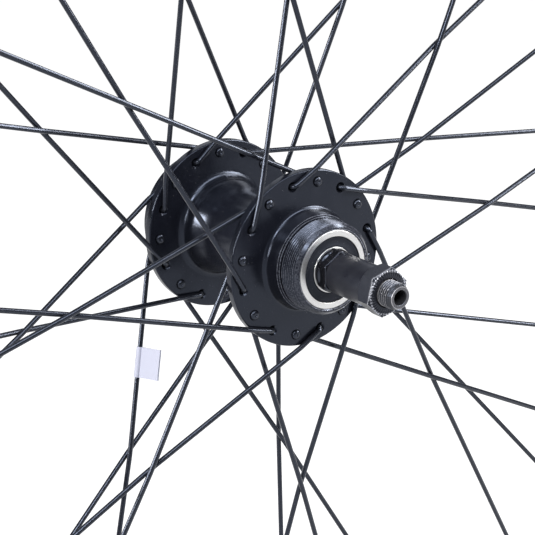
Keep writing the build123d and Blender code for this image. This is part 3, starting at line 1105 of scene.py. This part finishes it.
def spoke_path(direction, face, outward, crossing_y, rim_y):
    """Centre line of one spoke at hub angle 0, from its head to its nipple."""
    head = polar(spoke_circle_radius, 0, face - outward * flange_thickness)
    elbow = polar(spoke_circle_radius, 0, face + outward * (spoke_radius + face_clearance))
    crossing = crossing_point(direction)
    edge = elbow + unit(crossing - polar(spoke_circle_radius, 0, 0)) * flat_run
    crossing = crossing + np.array([0, crossing_y, 0])
    seat = polar(spoke_seat_radius, direction * rim_lead, rim_y)
    points = [head]
    bend(points, elbow, elbow - head, edge - elbow, head_bend_radius, 10)
    bend(points, edge, edge - elbow, crossing - edge, flange_bend_radius, 4)
    bend(points, crossing, crossing - edge, seat - crossing, crossing_bend_radius, 8)
    points.append(seat)
    return points, head


def dome_head(head, outward):
    """Domed spoke head with a small dimple, on the side away from the elbow."""
    columns = 24
    outline = [(1.02, 0.0), (1.8, 0.0), (1.88, 0.12), (1.84, 0.42), (1.62, 0.78), (1.2, 1.02)]
    outline += [(0.75, 1.12), (0.5, 1.1), (0.38, 0.9), (0.2, 0.8)]
    points = []
    for radius, rise in outline:
        for step in range(columns):
            angle = 2 * math.pi * step / columns
            offset = (radius * math.cos(angle), -outward * rise, radius * math.sin(angle))
            points.append(head + np.array(offset))
    faces = ring_faces(len(outline), columns, closed_rows=False)
    faces.append(tuple(range((len(outline) - 1) * columns, len(outline) * columns)))
    faces.append(tuple(range(columns)))
    return np.array(points), faces


# Each set: its turn direction, the flange face that it leaves, the way that face looks along Y,
# its y at the last crossing, and its first hole
spoke_sets = {
    "drive_outer_spokes": (-1, drive_flange_face, -1, drive_crossing + crossing_half_gap, 0),
    "drive_inner_spokes": (1, drive_flange_inner, 1, drive_crossing - crossing_half_gap, 1),
    "left_inner_spokes": (-1, left_flange_inner, -1, left_crossing + crossing_half_gap, 0),
    "left_outer_spokes": (1, left_flange_face, 1, left_crossing - crossing_half_gap, 1),
}


def nipple(path):
    """Nipple at angle 0: square wrench flats, round shoulder and head, on the spoke's line."""
    seat = path[-1]
    along = unit(path[-1] - path[-2])
    across = unit(np.cross(along, (0, 1, 0)))
    other = np.cross(along, across)
    columns = 32
    outline = [(1.15, -9.0), (1.5, -9.0), (1.95, -8.6), (1.95, -4.6), (1.97, -3.6), (1.97, 0.2)]
    outline += [(2.9, 0.9), (2.9, 1.8), (2.3, 2.5), (0.9, 2.5)]
    flat = 1.62
    flats_end = -4.0
    points = []
    for radius, height in outline:
        for step in range(columns):
            angle = 2 * math.pi * step / columns
            offset = (angle + math.pi / 4) % (math.pi / 2) - math.pi / 4
            limit = flat / math.cos(offset) if height < flats_end else radius
            size = min(radius, limit)
            ring = across * math.cos(angle) + other * math.sin(angle)
            points.append(seat + along * height + ring * size)
    return np.array(points), ring_faces(len(outline), columns)


nipple_parts = {"drive": [], "left": []}
for name, (direction, face, outward, crossing_y, first) in spoke_sets.items():
    side = name.split("_")[0]
    first_angle = drive_hole_angle if side == "drive" else left_hole_angle
    rim_y = -rim_hole_offset if side == "drive" else rim_hole_offset
    path, head = spoke_path(direction, face, outward, crossing_y, rim_y)
    wire = tube(path, spoke_radius)
    dome = dome_head(head, outward)
    one_nipple = nipple(path)
    parts = []
    for index in range(first, holes_per_flange, 2):
        angle = first_angle - hole_pitch * index
        parts.append((turn_points(wire[0], angle), wire[1]))
        parts.append((turn_points(dome[0], angle), dome[1]))
        nipple_parts[side].append((turn_points(one_nipple[0], angle), one_nipple[1]))
    piece = joined(f"{name}_detail", parts, 45)
    place(piece, "wheel", "spoke_steel", materials["spoke_steel"], name)

for side, parts in nipple_parts.items():
    piece = joined(f"{side}_nipples_detail", parts, 30)
    place(piece, "wheel", "nipple_brass", materials["nipple_brass"], f"{side}_nipples")


# ---------------------------------------------------------------- CAD nodes that stay

for node, slot in (
    ("rim", "rim_paint"),
    ("spoke_tag", "tag_paper"),
    ("bearing_sleeve", "black_steel"),
    ("drive_bearing_balls", "bearing_steel"),
    ("left_bearing_balls", "bearing_steel"),
    ("drive_bearing_cage", "cage_plastic"),
    ("left_bearing_cage", "cage_plastic"),
):
    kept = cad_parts[node]
    kept.data.materials.clear()
    kept.data.materials.append(materials[slot])
